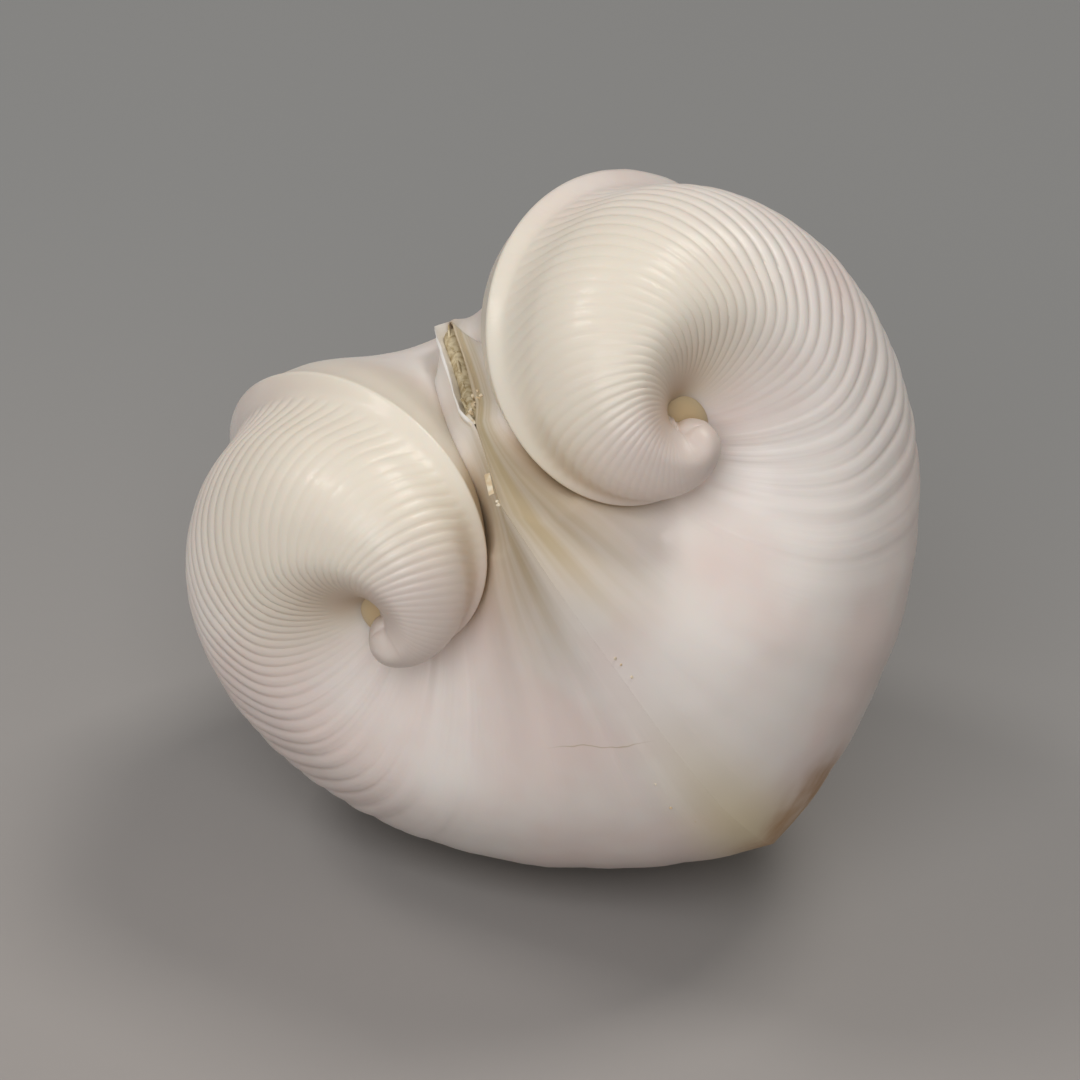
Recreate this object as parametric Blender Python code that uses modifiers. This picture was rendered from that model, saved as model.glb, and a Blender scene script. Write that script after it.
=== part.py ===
"""Heart cockle shell: two ribbed valves with coiled beaks, closed, and the ligament between them.

Each valve is grown the way the animal grows it. Its free margin is a flat outline, and every
older growth line is the same outline turned about the coiling axis and shrunk at a steady rate,
so the lines pile up into a whorl that ends in the curled beak. While a valve grows, X points out
of it, Y to the front and Z up past the hinge. The closed shell is then laid on its right side,
in the way that it comes to rest by itself.
"""

import math

import bmesh
import bpy
import numpy as np
from mathutils import Matrix, Vector

MM = 0.001

# Outline of the free margin, as (y, z) in mm from the hinge corner, round the front to the keel
# and back over the rear.
FRONT_MARGIN = [(-0.4, -0.6), (1.5, -3.7), (2.0, -7.9), (2.3, -12.0), (1.7, -16.3), (-0.3, -20.7),
                (-4.4, -24.7), (-10.3, -27.0), (-17.8, -27.2)]
KEEL_CORNER = (-21.1, -28.7)
REAR_MARGIN = [(-26.4, -24.6), (-29.2, -19.4), (-29.3, -13.6), (-26.3, -8.3), (-19.2, -3.4),
               (-12.5, -2.3), (-7.5, -1.4)]

# How the margin turns and shrinks, going back in age. Turns are in radians.
COIL_POLE = np.array((8.3, -3.6, -2.5))
POLE_DRIFT = np.array((-0.3, 1.1, -1.8))
COIL_TILT = math.radians(31.2)
COIL_LIFT = math.radians(13.7)
SHRINK_RATE = 0.368
BEAK_TURN = 7.37
TIP_RINGS = (math.radians(35), math.radians(65))

# The inner edge of the whorl is drawn in to the coiling axis, and leaves a pit beside the beak.
INNER_PULL = 0.85
PULL_TURN = 1.16
PIT_PULL = 0.22
PIT_TURN = 2.5
PIT_SPAN = 1.2
INNER_SETBACK = 9.6
INNER_FRONT = 15.0
INNER_FRONT_CURVE = 1.6
INNER_REAR = 19.0

# Behind the beaks the growth lines stay by the hinge edge, which bridges the two whorls.
HINGE_FULL = 9.0
HINGE_FROM = 13.0
HINGE_UNTIL = 25.0
HINGE_LEAVES = 1.2
HINGE_GONE = 2.5
HINGE_SLOPE = np.array((1.3, 0.0, -0.45))

# The valves stand apart along the hinge, where the ligament lies in the groove between them.
GROOVE_DEPTH = 0.45
GROOVE_FROM = 9.5
GROOVE_TO = 18.5
GROOVE_FADE = 2.0

# Ribs follow the growth lines over the disc and stop short of the keel. They leave the front of
# the young shell smooth, and run in to the pit where the shell is older.
RIB_TURN = 0.096
RIB_HEIGHT = 0.26
FIRST_RIB_TURN = 0.84
RIB_COUNT = 36
RIBS_GROWING_IN = 5
RIBS_DYING_OUT = 6
RIB_FROM = 8.0
RIB_FROM_OLD = 3.0
RIB_OLD_TURN = 1.5
RIB_RISE = 4.0
RIB_STOP = 3.8
RIB_FALL = 2.0
RIB_CREASE = math.radians(24)

LIGAMENT_WIDTH = 0.55
LIGAMENT_TOP = 0.35
LIGAMENT_DEPTH = 1.3
LIGAMENT_ROUND = 0.15
LIGAMENT_INSET = 1.2
LIGAMENT_STEP = 2

# The hollow inside a valve follows the growth lines up into the whorl. Its wall thins with age
# as the whorl does, and is thicker under the hinge.
WALL = 3.4
HINGE_WALL = 5.0
HINGE_WALL_TURN = 0.4
CAVITY_TURN = 2.5
VALVE_GAP = 0.3

# How finely the surface is divided, round the margin and along the whorl.
FRONT_COLUMNS = 16
REAR_COLUMNS = 8
YOUNG_ROWS = 6
BEAK_ROWS = 12
CAVITY_ROWS = 10

# The closed shell is tipped on its right side, lifted at the front and turned so that -Y is its best side.
TIPPED = math.radians(40.0)
FRONT_LIFT = math.radians(-0.1)
HEADING = math.radians(196.2)


def ease(value):
    """0 below 0, 1 above 1, and a smooth step between."""
    clipped = np.clip(value, 0.0, 1.0)
    return clipped * clipped * (3.0 - 2.0 * clipped)


def smooth_through(points, count):
    """A smooth curve through the points, at count equal steps, with each place's distance along it."""
    points = np.array(points, float)
    ends = np.vstack([2 * points[0] - points[1], points, 2 * points[-1] - points[-2]])
    t = np.linspace(0.0, 1.0, 12, endpoint=False)[:, None]
    runs = []
    for a, b, c, d in zip(ends, ends[1:], ends[2:], ends[3:]):
        runs.append(0.5 * (2 * b + (c - a) * t + (2 * a - 5 * b + 4 * c - d) * t**2
                           + (3 * b - a - 3 * c + d) * t**3))
    fine = np.vstack(runs + [points[-1:]])
    along = np.concatenate([[0.0], np.cumsum(np.linalg.norm(np.diff(fine, axis=0), axis=1))])
    steps = np.linspace(0.0, along[-1], count + 1)
    curve = np.column_stack([np.interp(steps, along, fine[:, 0]), np.interp(steps, along, fine[:, 1])])
    return curve, steps


class Margin:
    """The free margin's outline, and how near each of its points is to the hinge corner."""

    def __init__(self):
        front, frontway = smooth_through(FRONT_MARGIN + [KEEL_CORNER], FRONT_COLUMNS)
        rear, rearway = smooth_through([KEEL_CORNER] + REAR_MARGIN + FRONT_MARGIN[:1], REAR_COLUMNS)
        outline = np.vstack([front, rear[1:-1]])
        from_hinge = rearway[-1] - rearway[1:-1]
        groove = (ease((from_hinge - GROOVE_FROM) / GROOVE_FADE + 1)
                  * ease((GROOVE_TO - from_hinge) / GROOVE_FADE + 1))
        apart = np.concatenate([np.zeros(len(front)), GROOVE_DEPTH * groove])
        self.points = np.column_stack([apart, outline])
        front_inner = 0.5 * (1.0 + np.cos(np.pi * np.clip(frontway / INNER_FRONT, 0.0, 1.0)))
        rear_inner = 0.5 * (1.0 + np.cos(np.pi * np.clip(from_hinge / INNER_REAR, 0.0, 1.0)))
        self.inner = np.concatenate([front_inner**INNER_FRONT_CURVE, rear_inner])
        self.frontway = frontway
        held = ease(from_hinge / HINGE_FULL) * ease((HINGE_UNTIL - from_hinge) / (HINGE_UNTIL - HINGE_FROM))
        self.held = np.concatenate([np.zeros(len(front)), held])

    def ribbed(self, turn):
        """1 where the ribs of this age stand at full height, 0 where the surface is smooth."""
        start = RIB_FROM + (RIB_FROM_OLD - RIB_FROM) * ease(turn - RIB_OLD_TURN)
        to_keel = self.frontway[-1] - self.frontway
        front_ribs = ease((self.frontway - start) / RIB_RISE) * ease((to_keel - RIB_STOP) / RIB_FALL + 0.5)
        return np.concatenate([front_ribs, np.zeros(len(self.points) - len(front_ribs))])


COIL_AXIS = Vector((math.sin(COIL_TILT), math.cos(COIL_TILT) * math.cos(COIL_LIFT),
                    math.cos(COIL_TILT) * math.sin(COIL_LIFT))).normalized()


def growth_line(margin, turn):
    """The margin as it was when the valve had turned back this far, in mm."""
    shrink = math.exp(-SHRINK_RATE * turn)
    axis = np.array(COIL_AXIS)
    arm = margin.points - COIL_POLE
    along = arm @ axis
    out = arm - along[:, None] * axis
    drawn = margin.inner * ease(turn / PULL_TURN)
    pull = INNER_PULL + (PIT_PULL - INNER_PULL) * ease((turn - PIT_TURN) / PIT_SPAN + 0.5)
    arm = (along - drawn * INNER_SETBACK)[:, None] * axis + out * (1.0 - pull * drawn)[:, None]
    spin = np.array(Matrix.Rotation(-turn, 3, COIL_AXIS))
    line = COIL_POLE + POLE_DRIFT + shrink * (arm @ spin.T - POLE_DRIFT)
    hold = (margin.held * ease((HINGE_GONE - turn) / (HINGE_GONE - HINGE_LEAVES)))[:, None]
    return line + hold * (margin.points + HINGE_SLOPE * turn - line)


def outward(line, middle):
    away = line - middle
    return away / np.linalg.norm(away, axis=1)[:, None]


def outer_rows(margin):
    """Growth lines from the margin to the beak, raised and lowered in turn where the ribs are."""
    rows = [growth_line(margin, turn) for turn in np.linspace(0.0, FIRST_RIB_TURN, YOUNG_ROWS)[:-1]]
    for half in range(2 * RIB_COUNT + 1):
        turn = FIRST_RIB_TURN + half * RIB_TURN / 2
        line = growth_line(margin, turn)
        grown_in = min(1.0, half / (2 * RIBS_GROWING_IN), (2 * RIB_COUNT - half) / (2 * RIBS_DYING_OUT))
        height = RIB_HEIGHT * math.exp(-SHRINK_RATE * turn) * grown_in * (1 if half % 2 else -1)
        rows.append(line + outward(line, line.mean(axis=0)) * (height * margin.ribbed(turn))[:, None])
    last_rib = FIRST_RIB_TURN + RIB_COUNT * RIB_TURN
    rows += [growth_line(margin, turn) for turn in np.linspace(last_rib, BEAK_TURN, BEAK_ROWS + 1)[1:]]
    travel = rows[-1].mean(axis=0) - rows[-2].mean(axis=0)
    travel /= np.linalg.norm(travel)
    end = rows[-1]
    middle = end.mean(axis=0)
    reach = np.linalg.norm(end - middle, axis=1).mean()
    for angle in TIP_RINGS:
        rows.append(middle + (end - middle) * math.cos(angle) + travel * reach * math.sin(angle))
    return rows, middle + travel * reach


def cavity_rows(margin):
    """The inside of the valve, a wall's thickness in from the growth lines and more under the hinge."""
    rows = []
    for turn in np.linspace(0.0, CAVITY_TURN, CAVITY_ROWS):
        line = growth_line(margin, turn)
        thinner = math.exp(-SHRINK_RATE * turn / 2)
        wall = thinner * (WALL + HINGE_WALL * margin.inner * ease(turn / HINGE_WALL_TURN))
        rows.append(line - outward(line, line.mean(axis=0)) * wall[:, None])
    return rows, rows[-1].mean(axis=0)


def add_ring(mesh, row):
    return [mesh.verts.new(Vector(point) * MM) for point in row]


def add_fan(mesh, ring, tip):
    point = mesh.verts.new(Vector(tip) * MM)
    for i in range(len(ring)):
        mesh.faces.new((ring[i], ring[(i + 1) % len(ring)], point))


def make_valve(name, side, material, collection):
    margin = Margin()
    mesh = bmesh.new()
    shift = np.array((VALVE_GAP / 2, 0.0, 0.0))
    outer, tip = outer_rows(margin)
    inner, top = cavity_rows(margin)
    rings = [add_ring(mesh, row + shift) for row in inner[::-1] + outer]
    for near, far in zip(rings, rings[1:]):
        for i in range(len(near)):
            j = (i + 1) % len(near)
            mesh.faces.new((near[i], near[j], far[j], far[i]))
    add_fan(mesh, rings[0], top + shift)
    add_fan(mesh, rings[-1], tip + shift)
    bmesh.ops.scale(mesh, vec=(side, 1, 1), verts=mesh.verts)
    bmesh.ops.recalc_face_normals(mesh, faces=mesh.faces)
    data = bpy.data.meshes.new(name)
    mesh.to_mesh(data)
    mesh.free()
    data.shade_smooth()
    data.set_sharp_from_angle(angle=RIB_CREASE)
    valve = bpy.data.objects.new(name, data)
    valve.data.materials.append(material)
    collection.objects.link(valve)
    return valve


def make_material(name, colour, roughness):
    material = bpy.data.materials.new(name)
    material.use_nodes = True
    shader = material.node_tree.nodes["Principled BSDF"]
    shader.inputs["Base Color"].default_value = (*colour, 1.0)
    shader.inputs["Roughness"].default_value = roughness
    return material


def make_ligament(name, material, collection):
    """A strip set on edge in the groove, along the hinge."""
    crest, steps = smooth_through(FRONT_MARGIN[:1] + REAR_MARGIN[::-1], 60)
    start, end = np.searchsorted(steps, (GROOVE_FROM + LIGAMENT_INSET, GROOVE_TO - LIGAMENT_INSET))
    mesh = bmesh.new()
    pairs = []
    for y, z in crest[start:end:LIGAMENT_STEP]:
        low = mesh.verts.new(Vector((0.0, y, z - LIGAMENT_TOP - LIGAMENT_DEPTH)) * MM)
        high = mesh.verts.new(Vector((0.0, y, z - LIGAMENT_TOP)) * MM)
        pairs.append((low, high))
    for (low, high), (next_low, next_high) in zip(pairs, pairs[1:]):
        mesh.faces.new((low, next_low, next_high, high))
    data = bpy.data.meshes.new(name)
    mesh.to_mesh(data)
    mesh.free()
    ligament = bpy.data.objects.new(name, data)
    data.materials.append(material)
    collection.objects.link(ligament)
    wall = ligament.modifiers.new("thickness", "SOLIDIFY")
    wall.thickness = LIGAMENT_WIDTH * MM
    wall.offset = 0.0
    edge = ligament.modifiers.new("rounded", "BEVEL")
    edge.width = LIGAMENT_ROUND * MM
    edge.segments = 2
    return ligament


def lay_down(pieces):
    """Turns the shell into the way it rests, centred on the origin with its lowest point on the ground."""
    laid = (Matrix.Rotation(HEADING, 4, "Z") @ Matrix.Rotation(FRONT_LIFT, 4, "X")
            @ Matrix.Rotation(TIPPED, 4, "Y"))
    for piece in pieces:
        piece.data.transform(laid)
    points = np.array([vertex.co for piece in pieces for vertex in piece.data.vertices])
    low = points.min(axis=0)
    high = points.max(axis=0)
    middle = (low + high) / 2
    for piece in pieces:
        piece.data.transform(Matrix.Translation((-middle[0], -middle[1], -low[2])))


for old in list(bpy.data.objects):
    bpy.data.objects.remove(old)
collection = bpy.data.collections.new("heart_cockle_shell")
bpy.context.scene.collection.children.link(collection)
white = make_material("white_shell", (0.72, 0.65, 0.58), 0.38)
horn = make_material("dried_ligament", (0.30, 0.20, 0.09), 0.6)
pieces = [make_valve("left_valve", -1, white, collection), make_valve("right_valve", 1, white, collection),
          make_ligament("ligament", horn, collection)]
lay_down(pieces)
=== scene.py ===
import bpy
import bmesh
import math
import numpy as np
from mathutils import Matrix, Vector, noise


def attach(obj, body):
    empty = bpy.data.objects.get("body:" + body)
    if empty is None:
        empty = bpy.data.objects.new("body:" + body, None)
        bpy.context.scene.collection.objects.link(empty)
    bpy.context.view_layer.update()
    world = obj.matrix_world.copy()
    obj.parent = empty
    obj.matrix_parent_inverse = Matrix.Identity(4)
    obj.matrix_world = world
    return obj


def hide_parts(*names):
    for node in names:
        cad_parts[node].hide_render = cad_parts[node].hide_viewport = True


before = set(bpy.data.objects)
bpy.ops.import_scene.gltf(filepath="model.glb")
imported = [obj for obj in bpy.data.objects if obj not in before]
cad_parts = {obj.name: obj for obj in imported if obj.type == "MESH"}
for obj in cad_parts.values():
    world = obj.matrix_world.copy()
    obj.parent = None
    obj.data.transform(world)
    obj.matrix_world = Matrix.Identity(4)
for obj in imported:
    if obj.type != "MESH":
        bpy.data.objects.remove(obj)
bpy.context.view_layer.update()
print("frame loaded")

mm = 0.001

# how a valve grows: the free margin's outline is turned about the coiling axis and shrunk as it goes back in age
growth = {
    "frontMargin": [(-0.4, -0.6), (1.5, -3.7), (2.0, -7.9), (2.3, -12.0), (1.7, -16.3), (-0.3, -20.7),
                    (-4.4, -24.7), (-10.3, -27.0), (-17.8, -27.2)],   # y, z in mm from the hinge corner
    "keelCorner": (-21.1, -28.7),
    "rearMargin": [(-26.4, -24.6), (-29.2, -19.4), (-29.3, -13.6), (-26.3, -8.3), (-19.2, -3.4),
                   (-12.5, -2.3), (-7.5, -1.4)],
    "coilPole": (8.3, -3.6, -2.5),
    "poleDrift": (-0.3, 1.1, -1.8),
    "coilTilt": 31.2,
    "coilLift": 13.7,
    "shrinkRate": 0.368,      # per radian turned back
    "beakTurn": 7.20,         # radians from the margin to the tip of the beak
    "innerPull": 0.85,        # how far the inner edge is drawn in to the axis, in the shell and in the pit
    "pitPull": 0.70,
    "innerSetback": 9.6,      # mm that it is set back along the axis
    "innerFront": 15.0,       # mm of margin that it draws in, in front of the hinge corner and behind it
    "innerFrontCurve": 1.6,
    "innerRear": 19.0,
    "frontColumns": 122,
    "rearColumns": 66,
}

# the resting pose, turned about Y, X and Z in degrees, then moved in mm
laid = {"tipped": 40.0, "frontLift": -0.1, "heading": 196.2, "offset": (-2.6305, -15.4058, 23.0285)}

ribs = {
    "first": 0.80,            # radians of turn where the ribs begin and end
    "last": 6.5,
    "spacing": 0.090,         # radians from rib to rib, and how much wider they are in the old shell
    "widening": 0.012,
    "rowsEach": 8,            # rings to a rib, and fewer on the small ribs of the beak
    "rowsOld": 6,
    "oldTurn": 3.8,
    "height": 0.31,           # mm at full size, from groove to crest, and less of it on the beak
    "heightOld": 0.30,
    "from": 6.5,              # mm along the margin where they rise from the smooth front, in the young and old shell
    "fromOld": 4.5,
    "rise": 15.0,             # mm over which they rise to full height
    "riseOld": 7.0,
    "stop": 3.4,              # mm before the keel where they end on the flange
    "stopOld": 0.4,
    "flangeGroove": 0.16,
    "flangeWidth": 2.3,
    "wear": 0.7,              # how far they are worn down on top of the lobes
}

valve = {
    "gap": 0.0005,            # mm from the middle plane to a margin
    "waver": 0.12,            # mm that the closed margins wander
    "youngRows": 36,
    "beakRows": 16,
    "hollowRows": 8,
    "hollowTurn": 2.5,
    "wall": 3.4,
    "hingeWall": 5.0,
    "slot": 0.34,             # mm from the middle plane to each lip of the ligament's slot
    "slotFrom": 9.5,          # mm behind the hinge corner
    "slotTo": 18.5,
    "lip": 0.10,              # mm that the left and the right lip stand up
    "paleLip": 0.42,
    "lipTurn": 0.075,
    "check": 0.08,            # mm of the step where growth once stopped
    "checkTurn": 0.085,
    "wornTurn": 6.35,
    "wornPasses": 110,
    "pitFloor": (7.17, -6.20, -4.98),   # mm from the hinge corner, beside the beak
    "pitRadius": (1.8, 1.8, 0.8),       # across the coiling axis and along it
}


def ease(value):
    clipped = np.clip(value, 0.0, 1.0)
    return clipped * clipped * (3.0 - 2.0 * clipped)


def smoothThrough(points, count):
    points = np.array(points, float)
    ends = np.vstack([2 * points[0] - points[1], points, 2 * points[-1] - points[-2]])
    t = np.linspace(0.0, 1.0, 40, endpoint=False)[:, None]
    runs = []
    for a, b, c, d in zip(ends, ends[1:], ends[2:], ends[3:]):
        runs.append(0.5 * (2 * b + (c - a) * t + (2 * a - 5 * b + 4 * c - d) * t**2
                           + (3 * b - a - 3 * c + d) * t**3))
    fine = np.vstack(runs + [points[-1:]])
    along = np.concatenate([[0.0], np.cumsum(np.linalg.norm(np.diff(fine, axis=0), axis=1))])
    steps = np.linspace(0.0, along[-1], count + 1)
    return np.column_stack([np.interp(steps, along, fine[:, 0]), np.interp(steps, along, fine[:, 1])]), steps


# the closed margin, with each place's distance from the hinge corner round the front and over the rear
front, frontWay = smoothThrough(growth["frontMargin"] + [growth["keelCorner"]], growth["frontColumns"])
rear, rearWay = smoothThrough([growth["keelCorner"]] + growth["rearMargin"] + growth["frontMargin"][:1],
                              growth["rearColumns"])
fromHinge = rearWay[-1] - rearWay[1:-1]
frontCount, rearCount = len(front), len(rear) - 2
columns = frontCount + rearCount
slotShape = ease((fromHinge - valve["slotFrom"]) / 2.0 + 1) * ease((valve["slotTo"] - fromHinge) / 2.0 + 1)
slotShape = np.concatenate([np.zeros(frontCount), slotShape])
marginPoints = np.column_stack([valve["slot"] * slotShape, np.vstack([front, rear[1:-1]])])
innerFront = 0.5 * (1.0 + np.cos(np.pi * np.clip(frontWay / growth["innerFront"], 0.0, 1.0)))
innerRear = 0.5 * (1.0 + np.cos(np.pi * np.clip(fromHinge / growth["innerRear"], 0.0, 1.0)))
inner = np.concatenate([innerFront ** growth["innerFrontCurve"], innerRear])
held = np.concatenate([np.zeros(frontCount), ease(fromHinge / 9.0) * ease((25.0 - fromHinge) / 12.0)])
keelWay = np.concatenate([frontWay[-1] - frontWay, -rearWay[1:-1]])     # mm before the keel, negative behind it
alongFront = np.concatenate([frontWay, np.full(rearCount, -1.0)])
alongRear = np.concatenate([np.full(frontCount, -1.0), fromHinge])
tilt, lift = math.radians(growth["coilTilt"]), math.radians(growth["coilLift"])
coilAxis = Vector((math.sin(tilt), math.cos(tilt) * math.cos(lift), math.cos(tilt) * math.sin(lift)))
pole, drift, axis = np.array(growth["coilPole"]), np.array(growth["poleDrift"]), np.array(coilAxis)


def shrinkAt(turn):
    return math.exp(-growth["shrinkRate"] * turn)


def growthLine(turn):
    arm = marginPoints - pole
    along = arm @ axis
    out = arm - along[:, None] * axis
    drawn = inner * ease(turn / 1.16)
    pull = growth["innerPull"] + (growth["pitPull"] - growth["innerPull"]) * ease((turn - 2.5) / 1.2 + 0.5)
    arm = (along - drawn * growth["innerSetback"])[:, None] * axis + out * (1.0 - pull * drawn)[:, None]
    spin = np.array(Matrix.Rotation(-turn, 3, coilAxis))
    line = pole + drift + shrinkAt(turn) * (arm @ spin.T - drift)
    hold = (held * ease((2.5 - turn) / 1.3))[:, None]
    return line + hold * (marginPoints + np.array((1.3, 0.0, -0.45)) * turn - line)


def outward(line):
    away = line - line.mean(axis=0)
    return away / np.linalg.norm(away, axis=1)[:, None]


def wander(value, seed):
    return noise.noise(Vector((value, seed * 7.31, 2.7)))


# where each rib lies
ribTurns = [ribs["first"]]
while ribTurns[-1] < ribs["last"]:
    old = float(ease((ribTurns[-1] - 2.5) / 1.2))
    uneven = 1.0 + 0.10 * wander(ribTurns[-1] * 9.0, 1.0)
    ribTurns.append(ribTurns[-1] + (ribs["spacing"] + ribs["widening"] * old) * uneven)


def ribWindow(turn):
    # 0 where the surface is smooth and 1 where the ribs stand at full height
    start = ribs["from"] + (ribs["fromOld"] - ribs["from"]) * ease((turn - 1.4) / 1.0)
    rise = ease((alongFront - start) / (ribs["rise"] + (ribs["riseOld"] - ribs["rise"]) * ease((turn - 2.0) / 1.2)))
    stop = ribs["stop"] + (ribs["stopOld"] - ribs["stop"]) * ease((turn - 3.9) / 0.8)
    worn = ribs["wear"] * ease((turn - 2.3) / 0.7) * ease((4.3 - turn) / 0.6) * ease((alongFront - 9.0) / 8.0)
    window = rise * ease((keelWay - stop) / 1.8 + 0.5) * (1.0 - worn * (1.0 - 0.4 * ease((alongFront - 28.0) / 8.0)))
    return window * float(ease((turn - ribs["first"]) / 0.60) * ease((ribs["last"] - turn) / 0.9))


def surfaceLine(turn, crest):
    line = growthLine(turn)
    size = shrinkAt(turn)
    lower = 1.0 - (1.0 - ribs["heightOld"]) * float(ease((turn - 4.0) / 1.4))
    raised = ribs["height"] * lower * ribWindow(turn) * (crest - 0.6)
    young = float(ease((2.4 - turn) / 1.0))
    waves = 0.11 * wander(turn * 9.0, 3.0) + 0.04 * wander(turn * 31.0, 4.0)
    raised = raised + young * waves * ease(alongFront / 10.0)
    flange = np.exp(-((keelWay - ribs["flangeWidth"]) / 0.9) ** 2) * (alongFront >= 0.0)
    raised = raised - ribs["flangeGroove"] * flange * float(ease((4.4 - turn) / 2.0))
    # a growth check beside the low half of the margin
    check = ease((turn - valve["checkTurn"]) / 0.012) * ease((alongFront - 10.5) / 2.0) * ease((21.0 - alongFront) / 3.0)
    raised = raised + valve["check"] * check * float(ease((0.35 - turn) / 0.25))
    return line + outward(line) * (raised * size)[:, None]


def shellRows():
    # every ring of the valve, from deep in the hollow over the margin to the tip of the beak
    rows = []
    for turn in np.linspace(valve["hollowTurn"], 0.0, valve["hollowRows"]):
        line = growthLine(turn)
        thick = valve["wall"] + valve["hingeWall"] * inner * float(ease(turn / 0.4))
        thick = thick * math.sqrt(shrinkAt(turn))
        rows.append((line - outward(line) * thick[:, None], -1.0, 0.0))
    rows.insert(0, (np.tile(rows[0][0].mean(axis=0), (columns, 1)), -1.0, 0.0))
    for step in np.linspace(0.0, 1.0, valve["youngRows"], endpoint=False):
        turn = ribs["first"] * step ** 1.8      # closer together near the margin
        rows.append((surfaceLine(turn, 0.6), turn, 0.6))
    for low, high in zip(ribTurns, ribTurns[1:]):
        steps = ribs["rowsEach"] if low < ribs["oldTurn"] else ribs["rowsOld"]
        for step in range(steps):
            phase = step / steps
            crest = abs(math.cos(math.pi * phase)) ** 0.75
            turn = low + (high - low) * phase
            rows.append((surfaceLine(turn, crest), turn, crest))
    for turn in np.linspace(ribTurns[-1], growth["beakTurn"], valve["beakRows"] + 1):
        rows.append((surfaceLine(turn, 0.6), turn, 0.6))
    # a round end on the beak
    last = rows[-1][0]
    middle = last.mean(axis=0)
    travel = middle - rows[-2][0].mean(axis=0)
    travel /= np.linalg.norm(travel)
    reach = np.linalg.norm(last - middle, axis=1).mean()
    for angle in np.radians((18, 36, 54, 72, 90)):
        dome = middle + (last - middle) * math.cos(angle) + travel * reach * math.sin(angle)
        rows.append((dome, growth["beakTurn"], 0.6))
    return rows


def skinOf(rings, layers):
    # a grid wrapped round the rings, with its seam and its two ends closed
    across = len(rings[0])
    mesh = bmesh.new()
    bmesh.ops.create_grid(mesh, x_segments=across, y_segments=len(rings) - 1, size=1.0)
    kept = {name: mesh.verts.layers.float.new(name) for name in layers}
    places = np.concatenate([rings, rings[:, :1]], axis=1).reshape(-1, 3) * mm
    for vert, place in zip(mesh.verts, places):
        vert.co = place
    for name, values in layers.items():
        layer = kept[name]
        for vert, value in zip(mesh.verts, np.concatenate([values, values[:, :1]], axis=1).ravel()):
            vert[layer] = value
    bmesh.ops.remove_doubles(mesh, verts=mesh.verts, dist=1e-7)
    return mesh


shell = shellRows()
turns = np.array([row[1] for row in shell])
layers = {
    "growthTurn": np.repeat(turns[:, None], columns, axis=1),
    "ribCrest": np.repeat(np.array([row[2] for row in shell])[:, None], columns, axis=1),
    "alongFront": np.tile(alongFront, (len(shell), 1)),
    "alongRear": np.tile(alongRear, (len(shell), 1)),
    "beforeKeel": np.tile(keelWay, (len(shell), 1)),
}
marginWaver = np.array([wander(distance * 0.21, 9.0) for distance in np.concatenate([frontWay, -fromHinge])])
print("growth lines drawn")


def growValve(name, side):
    # the two valves mirror each other, but share one wandering line where they close
    nearMargin = np.where(turns < 0.0, 1.0, ease(1.0 - turns / 0.05))
    shift = valve["gap"] + side * valve["waver"] * nearMargin[:, None] * marginWaver[None, :]
    shift[0] = valve["gap"]
    rings = np.array([row[0] for row in shell])
    rings[:, :, 0] += shift
    # each lip of the ligament's slot is a low ridge, and the right one is whiter and stands higher
    ridge = ease(2.0 - turns / valve["lipTurn"])[:, None] * (turns >= 0.0)[:, None] * slotShape[None, :]
    ragged = 1.0 + 0.5 * np.array([wander(distance * 1.9, 5.0) for distance in np.concatenate([frontWay, -fromHinge])])
    rings[:, :, 2] += (valve["paleLip"] if side > 0 else valve["lip"]) * ridge * ragged[None, :]
    onLeft = np.full(layers["growthTurn"].shape, float(side < 0))
    mesh = skinOf(rings, {**layers, "paleLip": ridge * (side > 0), "leftSide": onLeft})
    # the tip of the beak is worn smooth
    turnLayer = mesh.verts.layers.float["growthTurn"]
    tip = [vert for vert in mesh.verts if vert[turnLayer] > valve["wornTurn"]]
    for _ in range(valve["wornPasses"]):
        bmesh.ops.smooth_vert(mesh, verts=tip, factor=0.5, use_axis_x=True, use_axis_y=True, use_axis_z=True)
    # the shell's own wall closes the bottom of the pit
    floorVerts = bmesh.ops.create_uvsphere(mesh, u_segments=32, v_segments=20, radius=mm)["verts"]
    bmesh.ops.scale(mesh, vec=valve["pitRadius"], verts=floorVerts)
    bmesh.ops.rotate(mesh, matrix=Vector((0, 0, 1)).rotation_difference(coilAxis).to_matrix(), verts=floorVerts)
    bmesh.ops.translate(mesh, vec=Vector(valve["pitFloor"]) * mm, verts=floorVerts)
    for vert in floorVerts:
        vert[turnLayer] = 9.0
    bmesh.ops.scale(mesh, vec=(side, 1, 1), verts=mesh.verts)
    return finish(mesh, name)


turned = (Matrix.Rotation(math.radians(laid["heading"]), 4, "Z")
          @ Matrix.Rotation(math.radians(laid["frontLift"]), 4, "X")
          @ Matrix.Rotation(math.radians(laid["tipped"]), 4, "Y"))
layDown = Matrix.Translation(Vector(laid["offset"]) * mm) @ turned


def finish(mesh, name):
    bmesh.ops.transform(mesh, matrix=layDown, verts=mesh.verts)
    bmesh.ops.recalc_face_normals(mesh, faces=mesh.faces)
    data = bpy.data.meshes.new(name)
    mesh.to_mesh(data)
    mesh.free()
    data.shade_smooth()
    data.set_sharp_from_angle(angle=math.radians(70))
    piece = bpy.data.objects.new(name, data)
    bpy.context.scene.collection.objects.link(piece)
    return piece


leftValve = growValve("leftValveShell", -1)
rightValve = growValve("rightValveShell", 1)
print("valves grown", len(leftValve.data.polygons), "faces each")

# the dried ligament: a rough strip down in the slot, with thin flakes lifting from it
ligament = {
    "from": 8.6,              # mm behind the hinge corner
    "to": 19.4,
    "below": 0.03,            # mm from the lips down to its top
    "depth": 1.2,
    "halfWidth": 0.41,
    "toOneSide": 0.03,       # mm nearer to the left valve
    "roughness": 0.14,
    "stations": 90,
    "across": 14,
    "flakes": 5,
}

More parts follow.
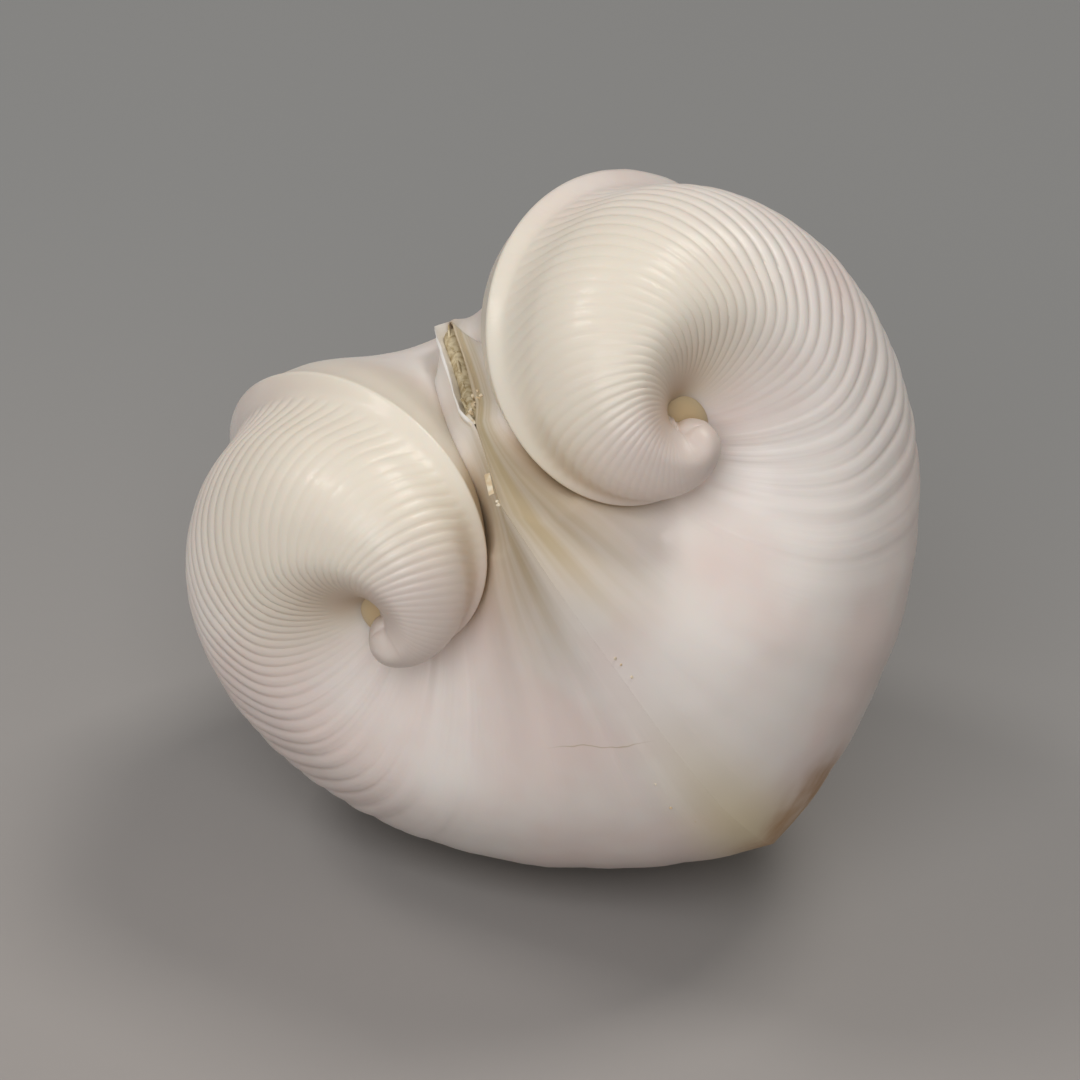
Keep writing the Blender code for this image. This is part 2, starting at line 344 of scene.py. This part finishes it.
hingeLine, hingeSteps = smoothThrough(growth["frontMargin"][:1] + growth["rearMargin"][::-1], 400)


def onHinge(distance):
    return np.array((0.0, np.interp(distance, hingeSteps, hingeLine[:, 0]),
                     np.interp(distance, hingeSteps, hingeLine[:, 1])))


def makeLigament(name):
    rings = []
    for distance in np.linspace(ligament["from"], ligament["to"], ligament["stations"]):
        place = onHinge(distance)
        ends = float(ease((distance - ligament["from"]) / 1.2) * ease((ligament["to"] - distance) / 1.2))
        ring = []
        for k in range(ligament["across"]):
            angle = 2 * math.pi * k / ligament["across"]
            side = math.cos(angle) * ligament["halfWidth"] * (0.25 + 0.75 * ends)
            top = math.sin(angle)
            rough = ligament["roughness"] * noise.noise(Vector((distance * 0.6, k * 1.9, 4.0)))
            height = -ligament["below"] - (1.0 - top) * 0.5 * ligament["depth"] * ends - 0.35 * (1.0 - ends)
            ring.append(place + np.array((side + ligament["toOneSide"], 0.0, height + max(top, 0.0) * rough)))
        rings.append(ring)
    rings = [np.tile(np.mean(rings[0], axis=0), (ligament["across"], 1))] + rings
    rings.append(np.tile(np.mean(rings[-1], axis=0), (ligament["across"], 1)))
    rings = np.array(rings)
    mesh = skinOf(rings, {})
    for i in range(ligament["flakes"]):
        spread = [noise.noise(Vector((i * 3.7, seed, 0.5))) for seed in (1.3, 5.1, 9.7, 14.9)]
        distance = ligament["from"] + 0.8 + (ligament["to"] - ligament["from"] - 1.6) * (i + 0.5) / ligament["flakes"]
        place = onHinge(distance) + np.array((0.36 * spread[0], 0.0, -ligament["below"] + 0.06 + 0.10 * spread[1]))
        made = bmesh.ops.create_cube(mesh, size=1.0)["verts"]
        bmesh.ops.scale(mesh, vec=(0.07, 0.85 + 0.6 * spread[2], 0.16), verts=made)
        bmesh.ops.rotate(mesh, matrix=Matrix.Rotation(0.5 * spread[3], 3, "Z") @ Matrix.Rotation(0.7 * spread[1], 3, "Y"),
                         verts=made)
        for vert in made:
            vert.co = (vert.co + Vector(place) + Vector((0.05, 0.10, 0.05)) * noise.noise(vert.co * 7.0 + Vector((i, 0, 0)))) * mm
    return finish(mesh, name)


driedLigament = makeLigament("driedLigament")

# chips and crumbs of shell left along the hinge and the margin, and white crumbs by the margin that stand in for glints
# as painted highlights, in mm
chips = {
    "plates": [(8.3, 0.10, 0.07, 0.95, 0.24), (2.0, 0.14, 0.06, 1.50, 0.28)],    # behind the hinge corner, to the side,
    "thickness": 0.05,                                                           # height, length, width
    "jitter": 0.045,
    "worn": 0.012,
    "crumbs": [(10.6, -0.30, 0.00, 0.11), (10.1, -0.42, -0.04, 0.10), (9.8, -0.20, -0.03, 0.13), (10.9, -0.46, -0.02, 0.09),
               (9.1, 0.04, -0.02, 0.12), (10.3, -0.60, -0.06, 0.08), (9.5, 0.00, -0.03, 0.09), (0.3, 0.06, 0.02, 0.08),
               (0.0, 0.03, 0.02, 0.06), (-0.5, 0.05, 0.02, 0.07)],               # behind, to the side, height, radius
    "glintFlecks": [(-1, 0.030, 8.2, 0.07), (-1, 0.034, 8.5, 0.05), (-1, 0.037, 9.3, 0.06), (1, 0.119, 14.4, 0.05),
               (1, 0.119, 15.9, 0.06), (1, 0.087, 18.0, 0.04)],                  # valve, turn, along the front margin, radius
}


def addCrumb(mesh, place, radius, seed):
    made = bmesh.ops.create_icosphere(mesh, subdivisions=2, radius=radius)["verts"]
    for vert in made:
        jitter = noise.noise_vector(vert.co / radius * 1.3 + Vector((seed * 4.0, 0, 0))) * radius * 0.8
        vert.co = (vert.co + jitter + Vector(place)) * mm


def makeChips(name):
    mesh = bmesh.new()
    for i, (distance, side, height, length, width) in enumerate(chips["plates"]):
        place = onHinge(distance) + np.array((side, 0.0, height))
        made = bmesh.ops.create_cube(mesh, size=1.0)["verts"]
        edges = list({edge for vert in made for edge in vert.link_edges})
        bmesh.ops.scale(mesh, vec=(width, length, chips["thickness"]), verts=made)
        lean = Matrix.Rotation(0.35 * wander(i * 5.3, 2.0), 3, "Y") @ Matrix.Rotation(0.5 * wander(i * 3.1, 6.0), 3, "Z")
        bmesh.ops.rotate(mesh, matrix=lean, verts=made)
        for vert in made:
            jitter = noise.noise_vector(vert.co * 5.0 + Vector((i * 4.0, 0, 0))) * chips["jitter"]
            vert.co = (vert.co + jitter + Vector(place)) * mm
        bmesh.ops.bevel(mesh, geom=edges, offset=chips["worn"] * mm, affect="EDGES", segments=2, profile=0.5, material=-1)
    for i, (distance, side, height, radius) in enumerate(chips["crumbs"]):
        addCrumb(mesh, onHinge(distance) + np.array((side, 0.0, height)), radius, i)
    # small crumbs by the margin whose white stands in for glints: painted highlights
    for i, (side, turn, way, radius) in enumerate(chips["glintFlecks"]):
        place = surfaceLine(turn, 0.6)[np.argmin(np.abs(frontWay - way))]
        addCrumb(mesh, place * np.array((side, 1.0, 1.0)), radius, i + 20)
    return finish(mesh, name)


shellChips = makeChips("shellChips")
print("ligament and chips made")


def srgb(code):
    parts = [int(code[i:i + 2], 16) / 255 for i in (1, 3, 5)]
    return tuple(c / 12.92 if c <= 0.04045 else ((c + 0.055) / 1.055) ** 2.4 for c in parts) + (1.0,)


def addNode(tree, kind, settings=None, values=None, links=None):
    node = tree.nodes.new(kind)
    for key, value in (settings or {}).items():
        setattr(node, key, value)
    for key, value in (values or {}).items():
        node.inputs[key].default_value = value
    for key, source in (links or {}).items():
        tree.links.new(source, node.inputs[key])
    return node


def newMaterial(name):
    material = bpy.data.materials.new(name)
    material.use_nodes = True
    tree = material.node_tree
    return material, tree, tree.nodes["Principled BSDF"]


def attribute(tree, name):
    return addNode(tree, "ShaderNodeAttribute", {"attribute_name": name}).outputs["Fac"]


def smoothMask(tree, source, low, high, most=1.0, least=0.0):
    return addNode(tree, "ShaderNodeMapRange", {"interpolation_type": "SMOOTHSTEP"},
                   {"From Min": low, "From Max": high, "To Min": least, "To Max": most}, {"Value": source}).outputs["Result"]


def times(tree, first, second):
    return addNode(tree, "ShaderNodeMath", {"operation": "MULTIPLY"}, links={0: first, 1: second}).outputs["Value"]


def stained(tree, base, colour, mask):
    return addNode(tree, "ShaderNodeMix", {"data_type": "RGBA"}, {"B": srgb(colour)},
                   {"Factor": mask, "A": base}).outputs["Result"]


def ballMask(tree, where, middle, reach):
    # 1 at the middle, which is given in mm from the hinge corner, and 0 at reach mm from it
    away = addNode(tree, "ShaderNodeVectorMath", {"operation": "DISTANCE"},
                   {1: tuple(layDown @ (Vector(middle) * mm))}, {0: where}).outputs["Value"]
    return smoothMask(tree, away, reach * mm, 0.35 * reach * mm)


aragonite = {
    "body": "#F1E9E3",        # clean shell
    "rose": "#ECDCD5",        # faint pink in patches
    "cream": "#E8E0D0",       # the older shell on top of the lobes
    # yellow-brown stain mixed with painted shade, laid where the hollows close in
    "stainAndShade": "#B99C69",       # yellow-brown in the hollows
    # painted shade, tinted brown, for the sides of the pit
    "pitSideShade": "#C6AA8E",
    "pitStain": "#DABF96",
    "hingeOlive": "#C6B38D",  # olive cream beside the hinge
    "marginStain": "#DCCBA0",
    "rubbed": "#FFFDF9",
    "beak": "#D5C7BE",        # the beaks are a little browner
    "bruise": "#B07E42",      # orange-brown by the low end of the margin
    "crackTone": "#CDBBA6",
    "roughness": 0.42,
    "bruiseAt": (-1.7, -3.3, -23.1),    # mm from the hinge corner, on the left valve at the low end of the margin
    "bruiseReach": 4.2,
    "crackAt": (2.6, 0.9, -12.1),       # on the right valve, with the way across the crack
    "crackReach": 2.7,
    "crackSlope": (0.501, 0.516, -0.694),
    "crackWidth": 0.035,
}


def polishedAragonite():
    # aragonite shell worn smooth by the sea: satin white with a thin gloss, deeper in tone where dirt sits
    material, tree, shader = newMaterial("polishedAragonite")
    where = addNode(tree, "ShaderNodeTexCoord").outputs["Object"]
    turn = attribute(tree, "growthTurn")
    way = attribute(tree, "alongFront")
    back = attribute(tree, "alongRear")
    clouds = addNode(tree, "ShaderNodeTexNoise", values={"Scale": 130.0, "Detail": 3.0}, links={"Vector": where}).outputs["Fac"]
    base = addNode(tree, "ShaderNodeMix", {"data_type": "RGBA"}, {"A": srgb(aragonite["body"]), "B": srgb(aragonite["rose"])},
                   {"Factor": smoothMask(tree, clouds, 0.40, 0.66)}).outputs["Result"]
    base = stained(tree, base, aragonite["cream"], times(tree, smoothMask(tree, turn, 1.8, 3.0, 0.85), smoothMask(tree, turn, 5.0, 4.2)))
    base = stained(tree, base, aragonite["beak"], smoothMask(tree, turn, 3.9, 5.2, 0.85))
    # olive cream beside the hinge, in streaks along the growth lines, on the youngest shell only
    lines = addNode(tree, "ShaderNodeCombineXYZ", links={"X": turn, "Y": way}).outputs["Vector"]
    drawnOut = addNode(tree, "ShaderNodeVectorMath", {"operation": "MULTIPLY"}, {1: (9.0, 0.05, 1.0)}, {0: lines}).outputs["Vector"]
    streaks = addNode(tree, "ShaderNodeTexNoise", values={"Scale": 1.0, "Detail": 2.0}, links={"Vector": drawnOut}).outputs["Fac"]
    nearCorner = times(tree, smoothMask(tree, way, 8.5, 0.0), smoothMask(tree, turn, 0.9, 0.1, 0.95))
    nearCorner = times(tree, nearCorner, smoothMask(tree, streaks, 0.35, 0.62, 1.0, 0.6))
    leftHinge = times(tree, attribute(tree, "leftSide"), smoothMask(tree, back, 25.0, 15.0))
    reach = addNode(tree, "ShaderNodeMath", {"operation": "ADD", "use_clamp": True},
                    links={0: smoothMask(tree, back, 9.0, 3.0, 1.0, 0.2), 1: leftHinge}).outputs["Value"]
    nearCorner = times(tree, nearCorner, reach)
    base = stained(tree, base, aragonite["hingeOlive"], nearCorner)
    # yellow-brown stain and painted shade in the hollows, darker the more the surface is closed in
    closed = addNode(tree, "ShaderNodeAmbientOcclusion", {"samples": 12}, {"Distance": 0.0035}).outputs["AO"]
    base = stained(tree, base, aragonite["stainAndShade"], smoothMask(tree, closed, 0.48, 0.10, 0.55))
    # yellow along the lower half of the closed margin
    lowHalf = smoothMask(tree, way, 9.0, 22.0, 0.8)
    base = stained(tree, base, aragonite["marginStain"], times(tree, lowHalf, smoothMask(tree, turn, 0.20, 0.0)))
    # clean white where a lip of the ligament's slot has been rubbed
    base = stained(tree, base, aragonite["rubbed"], smoothMask(tree, attribute(tree, "paleLip"), 0.05, 0.5))
    # painted shade, tinted brown, down the pit's sides, and the pit's floor stained through and through
    pitShade = times(tree, smoothMask(tree, way, 13.0, 3.0, 0.8), smoothMask(tree, back, 14.0, 4.0))
    pitShade = times(tree, pitShade, times(tree, smoothMask(tree, turn, 2.0, 3.4), smoothMask(tree, turn, 5.8, 4.6)))
    base = stained(tree, base, aragonite["pitSideShade"], pitShade)
    base = stained(tree, base, aragonite["pitStain"], smoothMask(tree, turn, 8.0, 8.5))
    # a bruise by the low end of the margin, and a hairline crack near the middle
    blotches = addNode(tree, "ShaderNodeTexNoise", values={"Scale": 420.0, "Detail": 3.0}, links={"Vector": where}).outputs["Fac"]
    bruised = times(tree, ballMask(tree, where, aragonite["bruiseAt"], aragonite["bruiseReach"]), smoothMask(tree, blotches, 0.15, 0.70, 1.0))
    base = stained(tree, base, aragonite["bruise"], bruised)
    wobble = addNode(tree, "ShaderNodeTexNoise", values={"Scale": 500.0, "Detail": 2.0}, links={"Vector": where}).outputs["Fac"]
    across = addNode(tree, "ShaderNodeVectorMath", {"operation": "SUBTRACT"},
                     {1: tuple(layDown @ (Vector(aragonite["crackAt"]) * mm))}, {0: where}).outputs["Vector"]
    across = addNode(tree, "ShaderNodeVectorMath", {"operation": "DOT_PRODUCT"},
                     {1: tuple(turned.to_3x3() @ Vector(aragonite["crackSlope"]))}, {0: across}).outputs["Value"]
    bent = addNode(tree, "ShaderNodeMath", {"operation": "MULTIPLY_ADD"}, {1: 0.0007, 2: -0.00035}, {0: wobble}).outputs["Value"]
    across = addNode(tree, "ShaderNodeMath", {"operation": "ADD"}, links={0: across, 1: bent}).outputs["Value"]
    across = addNode(tree, "ShaderNodeMath", {"operation": "ABSOLUTE"}, links={0: across}).outputs["Value"]
    crack = times(tree, smoothMask(tree, across, aragonite["crackWidth"] * mm, 0.0),
                  ballMask(tree, where, aragonite["crackAt"], aragonite["crackReach"]))
    base = stained(tree, base, aragonite["crackTone"], crack)
    tree.links.new(base, shader.inputs["Base Color"])
    fine = addNode(tree, "ShaderNodeTexNoise", values={"Scale": 900.0, "Detail": 4.0}, links={"Vector": where}).outputs["Fac"]
    gloss = addNode(tree, "ShaderNodeMapRange", values={"To Min": aragonite["roughness"] - 0.06, "To Max": aragonite["roughness"] + 0.14},
                    links={"Value": fine}).outputs["Result"]
    tree.links.new(gloss, shader.inputs["Roughness"])
    # growth lines too fine to be seen one by one, about 0.15 mm apart
    stretched = addNode(tree, "ShaderNodeVectorMath", {"operation": "MULTIPLY"}, {1: (60.0, 0.12, 1.0)}, {0: lines}).outputs["Vector"]
    lineNoise = addNode(tree, "ShaderNodeTexNoise", values={"Scale": 1.0, "Detail": 3.0}, links={"Vector": stretched}).outputs["Fac"]
    bump = addNode(tree, "ShaderNodeBump", values={"Strength": 0.12, "Distance": 0.00006}, links={"Height": lineNoise})
    tree.links.new(bump.outputs["Normal"], shader.inputs["Normal"])
    shader.inputs["IOR"].default_value = 1.53
    tree.links.new(smoothMask(tree, turn, 0.0, 0.22, 0.25), shader.inputs["Subsurface Weight"])
    shader.inputs["Subsurface Radius"].default_value = (1.0, 0.6, 0.4)
    shader.inputs["Subsurface Scale"].default_value = 0.0015
    shader.inputs["Coat Weight"].default_value = 0.14
    shader.inputs["Coat Roughness"].default_value = 0.07
    return material


horn = {"dark": "#AD9A72", "light": "#D6C9AA", "roughness": 0.55}


def driedHorn():
    # dried ligament: dull olive-brown, paler along its torn edges
    material, tree, shader = newMaterial("driedHorn")
    where = addNode(tree, "ShaderNodeTexCoord").outputs["Object"]
    streaks = addNode(tree, "ShaderNodeTexNoise", values={"Scale": 2600.0, "Detail": 4.0}, links={"Vector": where}).outputs["Fac"]
    base = addNode(tree, "ShaderNodeMix", {"data_type": "RGBA"}, {"A": srgb(horn["dark"]), "B": srgb(horn["light"])},
                   {"Factor": smoothMask(tree, streaks, 0.35, 0.62)}).outputs["Result"]
    tree.links.new(base, shader.inputs["Base Color"])
    bump = addNode(tree, "ShaderNodeBump", values={"Strength": 0.4, "Distance": 0.00003}, links={"Height": streaks})
    tree.links.new(bump.outputs["Normal"], shader.inputs["Normal"])
    shader.inputs["Roughness"].default_value = horn["roughness"]
    return material


chalk = {"pale": "#EADFC8", "warm": "#D8C09A", "roughness": 0.5}


def brokenShell():
    # fresh broken shell: chalky cream, with no polish
    material, tree, shader = newMaterial("brokenShell")
    where = addNode(tree, "ShaderNodeTexCoord").outputs["Object"]
    grain = addNode(tree, "ShaderNodeTexNoise", values={"Scale": 1800.0, "Detail": 2.0}, links={"Vector": where}).outputs["Fac"]
    base = addNode(tree, "ShaderNodeMix", {"data_type": "RGBA"}, {"A": srgb(chalk["pale"]), "B": srgb(chalk["warm"])},
                   {"Factor": smoothMask(tree, grain, 0.42, 0.62)}).outputs["Result"]
    tree.links.new(base, shader.inputs["Base Color"])
    shader.inputs["Roughness"].default_value = chalk["roughness"]
    return material


shellMaterial = polishedAragonite()
for piece, node in ((leftValve, "left_valve"), (rightValve, "right_valve")):
    piece.data.materials.append(shellMaterial)
    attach(piece, "root")
    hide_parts(node)
driedLigament.data.materials.append(driedHorn())
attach(driedLigament, "root")
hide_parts("ligament")
shellChips.data.materials.append(brokenShell())
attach(shellChips, "root")

board = {"far": "#8F9090", "near": "#A29D9A", "grain": 700.0}


def pressedBoard():
    # matt grey backdrop board, with painted light: a little lighter towards the front and darker far back
    material, tree, shader = newMaterial("pressedBoard")
    where = addNode(tree, "ShaderNodeTexCoord").outputs["Object"]
    # painted light falloff: the board's tone darkens with distance towards the back
    depth = addNode(tree, "ShaderNodeSeparateXYZ", links={"Vector": where}).outputs["Y"]
    tone = addNode(tree, "ShaderNodeMix", {"data_type": "RGBA"}, {"A": srgb(board["near"]), "B": srgb(board["far"])},
                   {"Factor": smoothMask(tree, depth, -0.05, 0.06)}).outputs["Result"]
    tree.links.new(tone, shader.inputs["Base Color"])
    grain = addNode(tree, "ShaderNodeTexNoise", values={"Scale": board["grain"], "Detail": 2.0}, links={"Vector": where}).outputs["Fac"]
    bump = addNode(tree, "ShaderNodeBump", values={"Strength": 0.1, "Distance": 0.0001}, links={"Height": grain})
    tree.links.new(bump.outputs["Normal"], shader.inputs["Normal"])
    shader.inputs["Roughness"].default_value = 0.85
    return material


floorMesh = bmesh.new()
bmesh.ops.create_grid(floorMesh, x_segments=1, y_segments=1, size=1.5)
floorData = bpy.data.meshes.new("floor")
floorMesh.to_mesh(floorData)
floorMesh.free()
floor = bpy.data.objects.new("floor", floorData)
bpy.context.scene.collection.objects.link(floor)
floorData.materials.append(pressedBoard())

lamps = {
    "backLamp": {"at": (0.10, 0.13, 0.42), "power": 0.62, "size": 0.16, "colour": "#FFF9F2"},
    "leftLamp": {"at": (-0.30, 0.00, 0.36), "power": 0.40, "size": 0.12, "colour": "#FFFAF5"},
    "frontLamp": {"at": (-0.07, -0.37, 0.28), "power": 1.13, "size": 0.30, "colour": "#FFFFFF"},
}
for name, lamp in lamps.items():
    light = bpy.data.lights.new(name, "AREA")
    light.energy = lamp["power"]
    light.size = lamp["size"]
    light.color = srgb(lamp["colour"])[:3]
    holder = bpy.data.objects.new(name, light)
    holder.location = lamp["at"]
    holder.rotation_euler = (Vector(lamp["at"]) - Vector((0, 0, 0.015))).to_track_quat("Z", "Y").to_euler()
    bpy.context.scene.collection.objects.link(holder)

world = bpy.data.worlds.new("studio")
world.use_nodes = True
world.node_tree.nodes["Background"].inputs["Color"].default_value = srgb("#EFEDEB")
world.node_tree.nodes["Background"].inputs["Strength"].default_value = 0.20
bpy.context.scene.world = world

view = {"elevation": 29.145, "roll": 9.289, "place": (-0.00055, -0.2693213, 0.1631350), "lens": 241.67}
cameraData = bpy.data.cameras.new("camera")
cameraData.lens = view["lens"]
cameraData.clip_start = 0.01
camera = bpy.data.objects.new("camera", cameraData)
camera.matrix_world = (Matrix.Translation(view["place"]) @ Matrix.Rotation(math.radians(90 - view["elevation"]), 4, "X")
                       @ Matrix.Rotation(math.radians(view["roll"]), 4, "Z"))
bpy.context.scene.collection.objects.link(camera)
bpy.context.scene.camera = camera
bpy.context.scene.view_settings.view_transform = "Standard"
print("stage set")
